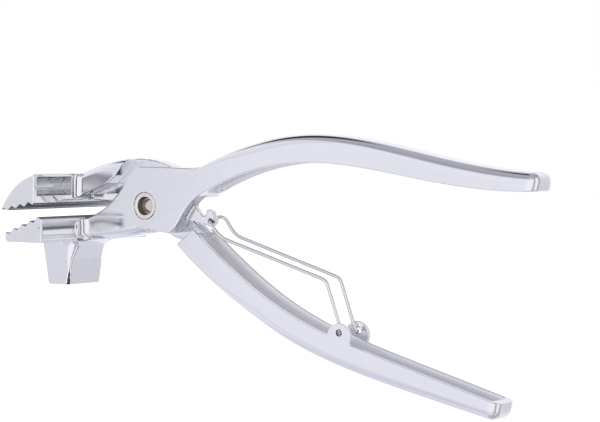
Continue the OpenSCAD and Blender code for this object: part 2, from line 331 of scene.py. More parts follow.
def plated(name, tint, dullTint, shine, ripple, wipe):
    # bright plating: mirror metal with faint haze, fine wipe marks along the levers and the soft ripple of a
    # polished casting; one attribute paints shade into hollows and between parts, darker and rougher, and
    # where the wheel couldn't reach the satin attribute makes it only rougher
    mat = bpy.data.materials.new(name)
    mat.use_nodes = True
    nodes, links = mat.node_tree.nodes, mat.node_tree.links
    shader = nodes["Principled BSDF"]
    shader.inputs["Metallic"].default_value = 1
    where = nodes.new("ShaderNodeTexCoord").outputs["Object"]
    # painted shade, from 0 to 1
    dull = attribute(nodes, "dull")
    split = nodes.new("ShaderNodeSeparateXYZ")
    links.new(where, split.inputs[0])
    lengthwise = nodes.new("ShaderNodeCombineXYZ")
    links.new(split.outputs["X"], lengthwise.inputs["X"])
    links.new(split.outputs["Y"], lengthwise.inputs["Y"])
    links.new(attribute(nodes, "grain"), lengthwise.inputs["Z"])
    wipes = noise(nodes, links, lengthwise.outputs["Vector"], plating["wipeGrain"], 3)
    haze = noise(nodes, links, where, plating["hazeGrain"], 4)
    wave = noise(nodes, links, where, plating["waveGrain"], 1)

    # painted shade: the tint is mixed towards the shade colour
    colour = nodes.new("ShaderNodeMix")
    colour.data_type = "RGBA"
    colour.inputs[6].default_value = (*tint, 1)
    colour.inputs[7].default_value = (*dullTint, 1)
    links.new(dull, colour.inputs[0])
    shade = ranged(nodes, links, wipes, 0.3, 0.7, 1 - wipe, 1)
    links.new(multiplied(nodes, links, colour.outputs[2], shade), shader.inputs["Base Color"])

    hazy = ranged(nodes, links, haze, 0.35, 0.75, shine, shine + plating["haze"])
    rough = raised(nodes, links, hazy, dull, plating["dullRough"])
    rough = raised(nodes, links, rough, attribute(nodes, "satin"), plating["satinRough"])
    links.new(rough, shader.inputs["Roughness"])

    bump = nodes.new("ShaderNodeBump")
    bump.inputs["Strength"].default_value = ripple
    bump.inputs["Distance"].default_value = plating["rippleHeight"]
    links.new(raised(nodes, links, wave, wipes, plating["wipeHeight"]), bump.inputs["Height"])
    links.new(bump.outputs["Normal"], shader.inputs["Normal"])
    return mat


def attribute(nodes, name):
    values = nodes.new("ShaderNodeAttribute")
    values.attribute_name = name
    return values.outputs["Fac"]


def raised(nodes, links, base, value, factor):
    # base plus value times factor
    total = nodes.new("ShaderNodeMath")
    total.operation = "MULTIPLY_ADD"
    total.inputs[1].default_value = factor
    links.new(value, total.inputs[0])
    links.new(base, total.inputs[2])
    return total.outputs[0]


def multiplied(nodes, links, first, second):
    mix = nodes.new("ShaderNodeMix")
    mix.data_type = "RGBA"
    mix.blend_type = "MULTIPLY"
    mix.inputs[0].default_value = 1
    links.new(first, mix.inputs[6])
    links.new(second, mix.inputs[7])
    return mix.outputs[2]


def ranged(nodes, links, value, low, high, toLow, toHigh):
    level = nodes.new("ShaderNodeMapRange")
    level.inputs["From Min"].default_value = low
    level.inputs["From Max"].default_value = high
    level.inputs["To Min"].default_value = toLow
    level.inputs["To Max"].default_value = toHigh
    links.new(value, level.inputs["Value"])
    return level.outputs["Result"]


def noise(nodes, links, where, scale, detail):
    # a noise whose grain is a different size along each axis; the scale counts grains to the metre
    stretch = nodes.new("ShaderNodeMapping")
    stretch.inputs["Scale"].default_value = scale
    grain = nodes.new("ShaderNodeTexNoise")
    grain.inputs["Scale"].default_value = 1
    grain.inputs["Detail"].default_value = detail
    links.new(where, stretch.inputs["Vector"])
    links.new(stretch.outputs["Vector"], grain.inputs["Vector"])
    return grain.outputs["Fac"]


# the second colour of each is the colour of painted shade
chrome = plated("leverChrome", (0.89, 0.89, 0.925), (0.25, 0.25, 0.27), 0.045, 0.10, 0.035)
nickel = plated("rivetNickel", (0.88, 0.84, 0.80), (0.20, 0.17, 0.15), 0.07, 0.12, 0.03)
springWire = plated("springWire", (0.81, 0.80, 0.79), (0.60, 0.60, 0.61), 0.05, 0.03, 0.03)
print("stage: materials")

# Lever A: lower jaw, block, near cheek, upper handle and lug
lowerJaw = {"half": 30, "back": -27, "front": -43.8, "bottom": -13.1, "endRound": 0.35,
            "scoopCentre": (-23.9, -8.65), "scoopRadius": 4.45, "scoopFrom": 10.2, "scoopTo": 29.1,
            "scoopEndRound": 0.6, "scoopEdge": 0.25, "filletTop": -5.1,
            "outlineCorner": 0.3, "frontBevel": 0.8, "lipDrop": 0.6}   # the lip starts below the first tip
block = {"outline": [[-43.8, -12], [-43.8, -13.1], [-41.7, -29], [-32.4, -29], [-30.9, -19.7], [-29.3, -16],
                     [-28, -13.1], [-28, -12]],
         "lowHalf": 8.9, "topHalf": 9.7, "low": -29, "top": -13.1, "jawFillet": 0.8, "neckFillet": 3.2,
         "rearEdge": ((-29, -19.7, -16, -13.1), (-32.4, -30.9, -29.3, -28)),
         "cornerRound": ((-29, -21.6, -15.8, -13.1), (0.4, 1.0, 2.8, 3.2)),
         "outlineCorner": 0.4, "frontCorner": 0.4, "cornersChange": (-38, -34), "filletsChange": (-31, -27),
         "cornerTop": -18.5, "cornerCut": 0.85, "cornerTurn": 52.5, "cutEdge": 0.1}
nearCheek = {"underside": [[-27, -12.6], [-18.4, -12.3], [-9.6, -12], [-1.3, -9.6]], "underRound": 3.5,
             "edge": [[10.2, -9.4], [16.6, -6.2], [14.8, -0.9], [23.9, 4.5]],
             "front": [[-27, -5], [-15.5, -2.1], [-12.5, 3.8], [-6.2, 11.2]],
             "hubLow": 8.95, "farRoot": 17.6, "stepAt": -1.3, "stepEdge": 0.3, "farEdge": 0.4,
             "dish": (0.3, -22, -8.4, 6.5, 3)}   # depth, centre and spread in x and z
upperHandle = {"open": [[23.9, 4.5], [70.7, 29.2], [103, 6], [152.2, 8]],
               "outer": [[23.8, 13.9], [73.1, 39], [101.1, 15.8], [153.6, 13.8]],
               "drawnIn": 0.03,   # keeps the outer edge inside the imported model's box
               "rootFrom": 22.6, "troughFrom": 24.4, "endWall": 3.0}
lug = {"hole": (26, -4.9), "wireHole": 1.1, "low": (25.75, -4.75), "lowRadius": 1.95, "top": (25.2, -2.2),
       "topRadius": 1.5, "y": (-3, -0.15), "fillet": 0.7, "edge": 0.5}

lowerTeeth = toothLine(0)[:2 * teeth["count"] - 1]
lowerJawOutline = softened(joined(
    lowerTeeth, [[lowerJaw["back"], -4.7], [lowerJaw["back"], lowerJaw["bottom"]],
                 [lowerJaw["front"] + lowerJaw["frontBevel"], lowerJaw["bottom"]],
                 [lowerJaw["front"], lowerJaw["bottom"] + lowerJaw["frontBevel"]],
                 [lowerJaw["front"], teeth["tip"][1] - lowerJaw["lipDrop"]]]), lowerJaw["outlineCorner"])
blockOutline = softened(block["outline"], block["outlineCorner"])
cheekEdge = cubic(nearCheek["edge"])
cheekTop = joined(cheekEdge, [[23.8, 13.9], [20.4, 13.4], [8.8, 13.7]], arc((-2.2, 9.7), 4, 90, 143, 10))
# the neck's underside is left open here, because a second field rounds it
nearNeckOutline = joined([[-29, -18], [12, -18], [12, -7]], cheekTop, cubic(nearCheek["front"])[::-1],
                         [[-29, -5.3]])
cheekOutline = joined([[-7, 9], [-7, -7.2], [-1, -7.9], [2.3, -8.1], [5.4, -8.8]], cheekTop)
farNeckOutline = joined(
    [[-29, -18], [-1.3, -18], [-1.3, -9.6]], arc((0, 0), nearCheek["hubLow"], 261.7, 211.7),
    [[-17.8, -2.95], [-27, -5], [-29, -5.3]])
farRootOutline = joined(
    arc((0, 0), nearCheek["farRoot"], 22, 50.7), [[20.4, 13.4], [23.8, 13.9], [23.9, 4.5], [22.3, 3.3]])
lugOutline = joined(cheekEdge[10:19], [[20.2, -0.9], [22.2, -2.9], [23.7, -2.9]],
                    arc(lug["top"], lug["topRadius"], 180, 10), arc(lug["low"], lug["lowRadius"], 5, -125),
                    [[20.3, -5.3]])
undersideCurve = heightCurve(nearCheek["underside"])
upperOpen, upperOuter = heightCurve(upperHandle["open"]), heightCurve(upperHandle["outer"])


def troughField(y, gaps, endWall):
    # a round trough: a circle's part below the open edge, from the trough's start to the wall at its end
    halfWidth, depth = lever["halfWidth"] - lever["wall"], lever["trough"]
    radius = (halfWidth ** 2 + depth ** 2) / (2 * depth)
    trough = np.hypot(y, gaps["open"] - radius + depth) - radius
    trough = both(trough, gaps["end"] + endWall, lever["troughEndRound"])
    return both(trough, gaps["start"], lever["troughStartRound"])


def handleField(x, y, gaps, endWall):
    # a bar between the curves of its open and its outer edge, whose outer corners are crisp at the root and
    # soon rounded; the end is rounded from the sides and the back, and meets the open edge in a small radius
    growth = (lever["handleRound"] - lever["rootCorner"]) * ramp(x, *lever["rootSpan"])
    outerRound = lever["rootCorner"] + growth
    body = both(np.abs(y) - lever["halfWidth"], gaps["outer"], outerRound)
    body = both(body, gaps["end"], lever["tipRound"])
    body = both(body, gaps["open"], lever["openRound"])
    return both(body, -troughField(y, gaps, endWall), lever["lipRound"])


def upperGaps(x, z):
    # distances beyond the upper handle's open edge, its outer edge, its trough's start and its end
    return {"open": -above(x, z, upperOpen), "outer": above(x, z, upperOuter) + upperHandle["drawnIn"],
            "start": upperHandle["troughFrom"] - x,
            "end": beyond(x, z, upperHandle["outer"][-1], upperHandle["open"][-1])}


def dish(x, z, size):
    # a shallow hollow in a flat face: a bell curve of both directions
    depth, cx, cz, alongX, alongZ = size
    return depth * np.exp(-((x - cx) / alongX) ** 2 - ((z - cz) / alongZ) ** 2)


def rootFillet(y, neck, back, top, bottom):
    # the fillet between a neck's sides and the back of its jaw, from the bottom up to the top; top and bottom
    # are distances beyond those ends
    fillet = either(neck, back, lever["rootRound"])
    fillet = np.maximum(fillet, np.maximum(-back - lever["filletSkin"], np.abs(y) - lever["filletReach"]))
    return both(fillet, np.maximum(top, bottom), lever["filletEdge"])


def hammerField(x, y, z):
    # the block widens upwards; its front corners are crisp, and the rear ones round off towards the neck
    widening = (block["topHalf"] - block["lowHalf"]) / (block["top"] - block["low"])
    width = block["lowHalf"] + (z - block["low"]) * widening
    rear = ramp(x, *block["cornersChange"])
    corner = block["frontCorner"] + (np.interp(z, *block["cornerRound"]) - block["frontCorner"]) * rear
    hammer = both(np.abs(y) - width, insideOutline(x, z, blockOutline), corner)
    # a worn flat grows down the near rear corner, turned by cornerTurn from the block's side
    turn = math.radians(block["cornerTurn"])
    cut = block["cornerCut"] * (block["cornerTop"] - z) / (block["cornerTop"] - block["low"])
    flat = (x - np.interp(z, *block["rearEdge"])) * math.sin(turn) - (y + width) * math.cos(turn) + cut
    return both(hammer, flat, block["cutEdge"])


def leverA(x, y, z):
    half, gap, overlap = lever["halfWidth"], lever["lapGap"] / 2, lever["halfOverlap"]
    underside, underRound = -above(x, z, undersideCurve), nearCheek["underRound"]
    cheek = both(between(y, -half, -gap), insideOutline(x, z, cheekOutline), lever["faceRound"])
    dished = between(y, -half + dish(x, z, nearCheek["dish"]), -gap)
    nearNeck = both(dished, insideOutline(x, z, nearNeckOutline), lever["faceRound"])
    nearNeck = np.maximum(nearNeck, both(between(y, -half, overlap), underside, underRound))
    nearNeck = both(nearNeck, x - nearCheek["stepAt"], nearCheek["stepEdge"])
    farHalf = between(y, -overlap, half)
    farNeck = both(farHalf, insideOutline(x, z, farNeckOutline), nearCheek["farEdge"])
    farNeck = np.maximum(farNeck, both(between(y, -half, half), underside, underRound))
    root = both(farHalf, insideOutline(x, z, farRootOutline), nearCheek["farEdge"])
    neck = np.minimum(np.minimum(cheek, nearNeck), farNeck)
    jaw = both(np.abs(y) - lowerJaw["half"], insideOutline(x, z, lowerJawOutline), lowerJaw["endRound"])
    fillet = rootFillet(y, neck, x - lowerJaw["back"], z - lowerJaw["filletTop"], lowerJaw["bottom"] - z)
    head = np.minimum(np.minimum(jaw, fillet), neck)
    growth = (block["neckFillet"] - block["jawFillet"]) * ramp(x, *block["filletsChange"])
    head = either(head, hammerField(x, y, z), block["jawFillet"] + growth)
    scoop = both(disc(x, z, lowerJaw["scoopCentre"], lowerJaw["scoopRadius"]),
                 between(np.abs(y), lowerJaw["scoopFrom"], lowerJaw["scoopTo"]), lowerJaw["scoopEndRound"])
    head = both(head, -scoop, lowerJaw["scoopEdge"])
    handle = handleField(x, y, upperGaps(x, z), upperHandle["endWall"])
    handle = np.maximum(handle, upperHandle["rootFrom"] - x)
    arm = both(between(y, *lug["y"]), insideOutline(x, z, lugOutline), lug["edge"])
    arm = np.maximum(arm, -disc(x, z, lug["hole"], lug["wireHole"]))
    metal = np.minimum(np.minimum(head, root), handle)
    metal = either(metal, arm, lug["fillet"])
    return rivetRoom(metal, x, z, lever["tubeHole"], half + y)


def rivetRoom(metal, x, z, holeRadius, depth):
    # the rivet's hole and the shallow sinking for its rim, with the depth counted from the outer face
    reach = np.hypot(x, z)
    metal = np.maximum(metal, holeRadius - reach)
    sinking = np.maximum(reach - lever["sinkRadius"], depth - lever["sinkDepth"])
    return both(metal, -sinking, lever["sinkRound"])


# Lever B: upper jaw, far cheek, lower handle and ears
upperJaw = {"half": 30, "back": -30.4, "heel": 0.85, "top": 11, "noseCentre": (-25.3, -11),
            "noseRadius": 22.3, "endWall": 1.6,
            "grooveCentre": (-30.9, 6.85), "grooveRadius": 3.45, "grooveFrom": 9.7,
            "limitCentre": (-25.3, -8.3), "limitRadius": 19.1, "limitRound": 1.2, "grooveEndRound": 0.6,
            "grooveEdge": 0.3, "filletFromTop": 0.3, "filletFromHeel": 1.3,
            "outlineCorner": 0.3}
farCheek = {"neckTop": [[-30.4, 11], [-19.8, 14.6], [-8.7, 19], [4.9, 14.4]], "topRound": 3.4,
            "shoulder": [[-8.9, 19], [-8.9, 15.8], [-13.1, 10.4], [-16.9, 7.7], [-22.8, 5.4], [-32, 1.9],
                         [-32, 22], [-8.9, 22]],
            "shoulderCorner": 1.2, "shoulderEdge": 0.35, "hubTop": 15.2, "hubLow": 8.6,
            "dish": (0.25, -24, 8.5, 6.5, 4),
            "topRoundLoss": (2.6, -6, 4),   # how much less round the far half's top gets, from X to X
            "hubEdge": 0.45, "hubEdgeGain": (2.4, 6, 13)}   # how much rounder its edge gets, from X to X
lowerHandle = {"open": [[21, -7.7], [60.66, -40.65], [71.76, -39.79], [140.2, -59.3]],
               "outer": [[13.7, -13.1], [55, -48.9], [72, -50.65], [139, -65.4]], "endWall": 3.0,
               "troughRun": 3.0, "startRound": 0.4}
ear = {"centre": (80.7, -41.4), "radius": 4.6, "hole": (80.95, -40.0), "wireHole": 1.1, "fillet": 0.5,
       "reach": 6.5, "edge": 0.3, "foot": 1.2,   # the foot runs down inside the handle's wall
       "cutReach": 6, "cutHeight": 0.2}   # where the ears' own pieces end

upperTeeth = turned(toothLine(teeth["play"])[:2 * teeth["count"] - 2], -teeth["closing"])
upperJawOutline = softened(joined(
    upperTeeth, [[upperJaw["back"], upperJaw["heel"]], [upperJaw["back"], upperJaw["top"]],
                 [-31.1, 10.85]],
    arc(upperJaw["noseCentre"], upperJaw["noseRadius"], 106, 154.5, 30), [[-45.3, -2]]),
    upperJaw["outlineCorner"])
neckTopCurve = heightCurve(farCheek["neckTop"], 30)
hubOutline = joined(
    [[-32, 30], [0, 30], [4.95, 16.2]], arc((0, 0), farCheek["hubTop"], 71, -15),
    [[22.4, -8.9], [15.1, -14.2], [13.7, -13.1], [9.5, -11.8], [5.6, -9.9]],
    arc((0, 0), farCheek["hubLow"], 275, 200), [[-18, 0.8], [-26.5, 1.3], [-29.4, 1.8], [-32, 0.9]])
shoulderOutline = softened(farCheek["shoulder"], farCheek["shoulderCorner"])
lowerOpen, lowerOuter = heightCurve(lowerHandle["open"]), heightCurve(lowerHandle["outer"])


def lowerStart(x, z):
    # distance back from the plane in which the lower handle starts
    return beyond(x, z, lowerHandle["outer"][0], lowerHandle["open"][0])


def lowerGaps(x, z):
    # the same distances for the lower handle
    return {"open": above(x, z, lowerOpen), "outer": -above(x, z, lowerOuter),
            "start": lowerStart(x, z) - lowerHandle["troughRun"],
            "end": beyond(x, z, lowerHandle["open"][-1], lowerHandle["outer"][-1])}


def grooveField(x, y, z):
    # round groove in the back of the upper jaw, one on each side of the neck, kept off the nose's skin
    groove = both(disc(x, z, upperJaw["grooveCentre"], upperJaw["grooveRadius"]),
                  disc(x, z, upperJaw["limitCentre"], upperJaw["limitRadius"]), upperJaw["limitRound"])
    span = between(np.abs(y), upperJaw["grooveFrom"], upperJaw["half"] - upperJaw["endWall"])
    return both(groove, span, upperJaw["grooveEndRound"])


def leverB(x, y, z):
    half, gap, overlap = lever["halfWidth"], lever["lapGap"] / 2, lever["halfOverlap"]
    top, whole = above(x, z, neckTopCurve), between(y, -half, half)
    loss, lossFrom, lossTo = farCheek["topRoundLoss"]
    gain, gainFrom, gainTo = farCheek["hubEdgeGain"]
    far = both(between(y, gap, half), insideOutline(x, z, hubOutline),
               farCheek["hubEdge"] + gain * ramp(x, gainFrom, gainTo))
    far = np.maximum(far, both(whole, top, farCheek["topRound"] - loss * ramp(x, lossFrom, lossTo)))
    near = both(between(y, dish(x, z, farCheek["dish"]) - half, overlap),
                insideOutline(x, z, shoulderOutline), farCheek["shoulderEdge"])
    near = np.maximum(near, both(whole, top, farCheek["topRound"]))
    neck = np.minimum(near, far)
    jaw = both(np.abs(y) - upperJaw["half"], insideOutline(x, z, upperJawOutline), lowerJaw["endRound"])
    fillet = rootFillet(y, neck, x - upperJaw["back"], z - upperJaw["top"] + upperJaw["filletFromTop"],
                        upperJaw["heel"] + upperJaw["filletFromHeel"] - z)
    head = np.minimum(np.minimum(jaw, fillet), neck)
    head = both(head, -grooveField(x, y, z), upperJaw["grooveEdge"])
    gaps = lowerGaps(x, z)
    handle = handleField(x, y, gaps, lowerHandle["endWall"])
    handle = both(handle, lowerStart(x, z), lowerHandle["startRound"])
    # the ears are drawn on the walls' own outline, so their faces run on without a step
    earOutline = either(disc(x, z, ear["centre"], ear["radius"]), gaps["open"], ear["fillet"])
    earOutline = np.maximum(earOutline, np.abs(x - ear["centre"][0]) - ear["reach"])
    lobe = both(earOutline, between(np.abs(y), half - lever["wall"], half), ear["edge"])
    lobe = np.maximum(lobe, -gaps["open"] - ear["foot"])
    metal = np.minimum(np.minimum(head, handle), lobe)
    metal = np.maximum(metal, -disc(x, z, ear["hole"], ear["wireHole"]))
    return rivetRoom(metal, x, z, lever["tubeHole"] + lever["rivetPlay"], half - y)


# places where shade is painted into the plating, darker and rougher
shadePlaces = {
    "lowerGrip": 0.55, "upperGrip": 0.6, "groove": 0.35, "rim": 0.6,   # how much shade is painted on each place, from 0 to 1
    "holeNear": 0.15,                   # what counts as near the wall of a wire hole
    "holeInset": 0.2, "earInside": (5.2, 6.5),
    "gripSlopes": (0.4, -0.3),          # upward part of the normal beyond which the two faces grip
    "gripSkin": 0.1, "heelSkin": 0.3,   # how far past the jaw's back and heel they are taken to reach
    "grooveFade": (0.1, 0.4),
    "stripRise": ((0.45, -5.2, -7.4), (0.55, -7.2, -7.8)),   # shares of the strip, each from Z to Z
    "stripEnd": (-8.3, -8.9), "stripNear": 0.12, "stripInset": 0.15,
    "rimX": (10.5, 23), "rimY": (-6.2, -0.2), "rimTop": 4, "rimNear": 0.2,
}


def dullA(p, normal):
    # painted shade, darker and rougher: in the lug's wire hole, on the gripping face between the jaws, in a
    # strip along the bottom of the scoops and on the hollow edge of the cheek below the upper handle
    u = shadePlaces
    x, y, z = p.T
    # painted shade inside the lug's wire hole
    wireHole = disc(x, z, lug["hole"], lug["wireHole"]) < u["holeNear"]
    wireHole &= between(y, *lug["y"]) < -u["holeInset"]
    # painted shade on the gripping face, between the jaws
    grip = (normal[:, 2] > u["gripSlopes"][0]) & (x < lowerJaw["back"] + u["gripSkin"])
    grip &= z > teeth["tip"][1] - teeth["height"]
    # painted shade: a dark strip along the bottom of the scoop, a shadow band
    strip = sum(share * ramp(z, high, low) for share, high, low in u["stripRise"])
    strip *= np.abs(disc(x, z, lowerJaw["scoopCentre"], lowerJaw["scoopRadius"])) < u["stripNear"]
    strip *= (x < lowerJaw["back"] - u["stripInset"]) * (1 - ramp(z, *u["stripEnd"]))
    # painted shade on the hollow edge of the cheek
    rim = (np.abs(insideOutline(x, z, cheekOutline)) < u["rimNear"]) & (z < u["rimTop"])
    rim &= (between(x, *u["rimX"]) < 0) & (between(y, *u["rimY"]) < 0)
    return np.max([wireHole * 1.0, u["lowerGrip"] * grip, strip, u["rim"] * rim], 0)


def dullB(p, normal):
    # painted shade, darker and rougher: in the grooves of the jaw, in the ears' wire holes and on the
    # gripping face between the jaws
    u = shadePlaces
    x, y, z = p.T
    # painted shade in the jaw's grooves
    groove = 1 - ramp(grooveField(x, y, z), *u["grooveFade"])
    wireHole = disc(x, z, ear["hole"], ear["wireHole"]) < u["holeNear"]
    wireHole &= between(np.abs(y), *u["earInside"]) < 0
    grip = (normal[:, 2] < u["gripSlopes"][1]) & (x < upperJaw["back"] + u["gripSkin"])
    grip &= z < upperJaw["heel"] + u["heelSkin"]
    return np.max([u["groove"] * groove, wireHole * 1.0, u["upperGrip"] * grip], 0)


satinPlaces = {
    "neck": 0.35, "neckStart": (-30.5, -27.5), "neckEnd": (-16, -11), "neckY": (-5.8, -5.2),
    "tip": 0.6, "tipSpan": (-5, -2.5), "troughEdge": (0.1, 0.5), "lipEdge": (0.05, 0.5),
}


def satinOf(x, y, gaps):
    # softer plating: wholly in the troughs, less on the near sides of the necks and at the handles' tips
    s = satinPlaces
    trough = (1 - ramp(troughField(y, gaps, 0), *s["troughEdge"])) * ramp(-gaps["open"], *s["lipEdge"])
    neck = s["neck"] * ramp(x, *s["neckStart"]) * (1 - ramp(x, *s["neckEnd"])) * (1 - ramp(y, *s["neckY"]))
    return np.max([trough, neck, s["tip"] * ramp(gaps["end"], *s["tipSpan"])], 0)


cells = {"head": 0.36, "handle": 0.6, "jawSide": 0.8, "jawEnd": 0.34,   # how large they are in each stretch
         "jawEndFrom": 27.7, "jawEndTo": 30.7, "middle": 10.4}


def leverLattice(spanX, spanZ):
    xs = lattice((spanX[0], lever["headEnd"], cells["head"]), (lever["headEnd"], spanX[1], cells["handle"]))
    middle, endFrom, endTo = cells["middle"], cells["jawEndFrom"], cells["jawEndTo"]
    ys = lattice(
        (-endTo, -endFrom, cells["jawEnd"]), (-endFrom, -middle, cells["jawSide"]),
        (-middle, middle, cells["head"]),
        (middle, endFrom, cells["jawSide"]), (endFrom, endTo, cells["jawEnd"]))
    return xs, ys, lattice((*spanZ, cells["head"]))


def leverPieces(field, spanX, spanZ, body, dullness, gapsOf, regions):
    # the lever's skin is made whole, so that its fillets run through, and then parted into its named pieces;
    # a region is a distance, below zero in the piece
    points, faces, normals = skinOf(field, *leverLattice(spanX, spanZ))
    x, y, z = points.T
    gaps = gapsOf(x, z)
    # painted shade, darker and rougher, in hollows and between the jaws
    finish = {"dull": dullness(points, normals), "satin": satinOf(x, y, gaps),
              "grain": gaps["open"] * metresPerMm}
    middle = points[faces].mean(1)
    left = np.ones(len(faces), bool)
    for name, node, region in regions:
        mine = left & (region(*middle.T) < 0)
        left &= ~mine
        if left.any():
            cutClean(points, faces, mine, left, field, region)
        obj = pieceOf(name, points, faces[mine], normals, **finish)
        setOnBody(obj, chrome, body, node)
        print("piece", name, len(obj.data.polygons), "faces")


def allOf(*distances):
    return np.maximum.reduce(np.broadcast_arrays(*distances))


def theRest(x, y, z):
    return 0 * x - 1


# where the castings are parted into their pieces
cuts = {"lowerJaw": -26.5, "lowerJawLow": -13.6, "upperHandle": 24, "upperHandleLow": 1,
        "lug": 14, "lugTop": 3, "lugOff": 0.55, "upperJaw": -29.9, "lowerHandle": 1.2}


def earRegion(side):
    # the ear above the handle's open edge, on the near side for side 1 and on the far side for -1
    return lambda x, y, z: allOf(
        ear["cutHeight"] - above(x, z, lowerOpen), np.abs(x - ear["centre"][0]) - ear["cutReach"], side * y)


leverPieces(
    leverA, (-46, 155.5), (-30.5, 35), "lever_a", dullA, upperGaps,
    [("lowerJaw", "lower_jaw", lambda x, y, z: allOf(x - cuts["lowerJaw"], cuts["lowerJawLow"] - z)),
     ("hammerBlock", "hammer_block", lambda x, y, z: x - cuts["lowerJaw"]),
     ("upperHandle", "upper_handle", lambda x, y, z: allOf(
         cuts["upperHandle"] - x, cuts["upperHandleLow"] - z)),
     ("springLug", "spring_lug", lambda x, y, z: allOf(
         cuts["lugOff"] - insideOutline(x, z, cheekOutline), cuts["lug"] - x, z - cuts["lugTop"])),
     ("nearCheek", "near_cheek", theRest)])
print("stage: lever A")
leverPieces(
    leverB, (-47, 142.5), (-66.5, 18), "lever_b", dullB, lowerGaps,
    [("upperJaw", "upper_jaw", lambda x, y, z: x - cuts["upperJaw"]),
     ("nearSpringEar", "near_spring_ear", earRegion(1)),
     ("farSpringEar", "far_spring_ear", earRegion(-1)),
     ("lowerHandle", "lower_handle", lambda x, y, z: lowerStart(x, z) + cuts["lowerHandle"]),
     ("farCheek", "far_cheek", theRest)])
print("stage: lever B")

# Rivet: a tube with a rolled rim at each end
rivet = {"bore": 3.1, "tube": 3.8, "rim": 4.6, "half": 6.6, "sink": 0.7, "mouth": 0.55, "sides": 96,
         "brightHalf": 2.9, "rimRound": 0.3, "clear": 0.02}   # the rim stands clear of the sinking's floor


def lathe(name, profile, sides, material, node, body):
    # a closed profile of (radius, y) turned round the Y axis
    a = np.linspace(0, 2 * math.pi, sides, endpoint=False)[:, None]
    r, y = np.array(profile).T
    p = np.stack([np.cos(a) * r, np.ones_like(a) * y, np.sin(a) * r], 2).reshape(-1, 3)
    # painted shade: the bore is darkened towards its ends and left bright in its middle
    ends = np.isclose(r, r.min()) * (np.abs(y) > rivet["brightHalf"])
    obj = pieceOf(name, p, ringFaces(sides, len(r), True), dull=np.tile(ends * 1.0, sides))
    setOnBody(obj, material, body, node)


def rimProfile(sign):
    # the rim bulges over the sinking: a flat under it, a round outer edge and a flare into the bore
    r, h = rivet, rivet["half"]
    outer = arc((r["rim"] - r["rimRound"], h - r["rimRound"]), r["rimRound"], 0, 90, 6)
    flare = arc((r["bore"] + r["mouth"], h - r["mouth"]), r["mouth"], 90, 180, 8)
    low = h - r["sink"] + r["clear"]
    pts = joined([[r["tube"], low], [r["rim"], low]], outer, flare)
    pts[:, 1] *= sign
    return pts if sign > 0 else pts[::-1]


# the painted shade in the bore starts between 0.8 and 1.3 of brightHalf
boreStations = [[rivet["bore"], rivet["brightHalf"] * share] for share in (1.3, 0.8, -0.8, -1.3)]
rivetProfile = joined(rimProfile(1), boreStations, rimProfile(-1))
lathe("pivotRivet", rivetProfile, rivet["sides"], nickel, "pivot_rivet", "lever_a")
print("stage: rivet")

# Spring: one wire, through the lug and hooked into both ears
spring = {"radius": 0.65, "legY": 4.35, "hookY": 6.2, "sides": 16, "bendSteps": 10, "spacing": 0.3,
          "endSizes": (0.02, 0.75, 0.95, 1),   # the last rings at each end, as shares of the full size
          "followsA": (0.030, 0, -0.0075), "followsB": (0.074, 0, -0.023)}   # these two in metres
legY, hookY = spring["legY"], spring["hookY"]
springRoute = [
    (80.8, -hookY, -40.2, 0), (80.8, -legY, -40.2, 0.8), (74.4, -legY, -23, 1.8), (31.3, -legY, -10.1, 3),
    (27.1, -legY, -5.7, 0.6), (26, -3.9, -4.9, 0.7), (26, 0.75, -4.9, 0.7), (25.2, 2.6, -3.3, 0.9),
    (26.9, legY, -3.7, 1.2), (31.4, legY, -9.7, 3), (74.4, legY, -22.7, 1.8), (80.8, legY, -40.2, 0.8),
    (80.8, hookY, -40.2, 0)]   # x, y, z and how far the bend begins before the corner


def wirePath(route, steps):
    # each corner becomes a short parabola between points on its two sides
    p = np.array(route)[:, :3]
    reach = np.array(route)[:, 3:]
    u = p[:-2] - p[1:-1]
    v = p[2:] - p[1:-1]
    start = p[1:-1] + u / np.linalg.norm(u, axis=1, keepdims=True) * reach[1:-1]
    end = p[1:-1] + v / np.linalg.norm(v, axis=1, keepdims=True) * reach[1:-1]
    t = np.linspace(0, 1, steps + 1)[None, :, None]
    bends = start[:, None] * (1 - t) ** 2 + 2 * p[1:-1][:, None] * t * (1 - t) + end[:, None] * t ** 2
    return np.concatenate([p[:1], bends.reshape(-1, 3), p[-1:]])


def resampled(path, spacing):
    gap = np.linalg.norm(np.diff(path, axis=0), axis=1)
    s = np.concatenate([[0], np.cumsum(gap)])
    keep = np.concatenate([[True], gap > 1e-6])
    at = np.linspace(0, s[-1], round(s[-1] / spacing) + 1)
    return np.stack([np.interp(at, s[keep], c) for c in path[keep].T], 1)


def carriedFrames(tangents):
    # a side direction carried along the path without twisting it
    side = np.zeros_like(tangents)
    u = np.array([0.0, 0.0, 1.0])
    for n, t in enumerate(tangents):
        u = u - t * (u @ t)
        u /= np.linalg.norm(u)
        side[n] = u
    return side, np.cross(tangents, side)


path = resampled(wirePath(springRoute, spring["bendSteps"]), spring["spacing"])
tangents = np.gradient(path, axis=0)
tangents /= np.linalg.norm(tangents, axis=1, keepdims=True)
sideU, sideV = carriedFrames(tangents)
turn = np.linspace(0, 2 * math.pi, spring["sides"], endpoint=False)[None, :, None]
# the ends are drawn in over a few rings, so the cut wire has a rounded face
ends = np.minimum(np.arange(len(path)), np.arange(len(path))[::-1])
shrink = np.array(spring["endSizes"])[np.minimum(ends, 3)][:, None, None]
outward = sideU[:, None] * np.cos(turn) + sideV[:, None] * np.sin(turn)
rings = path[:, None] + outward * spring["radius"] * shrink
returnSpring = pieceOf("returnSpring", rings.reshape(-1, 3), ringFaces(len(path), spring["sides"], False))
returnSpring.data.materials.append(springWire)
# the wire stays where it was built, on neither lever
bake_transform(returnSpring)
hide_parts("return_spring")
print("stage: spring")

# Studio
view = {"place": (453.4, -593.75, 25.3), "azimuth": 33.46, "elevation": 2.07, "roll": 0.35,
        "focalPixels": 2115, "framePixels": 600, "sensor": 36}


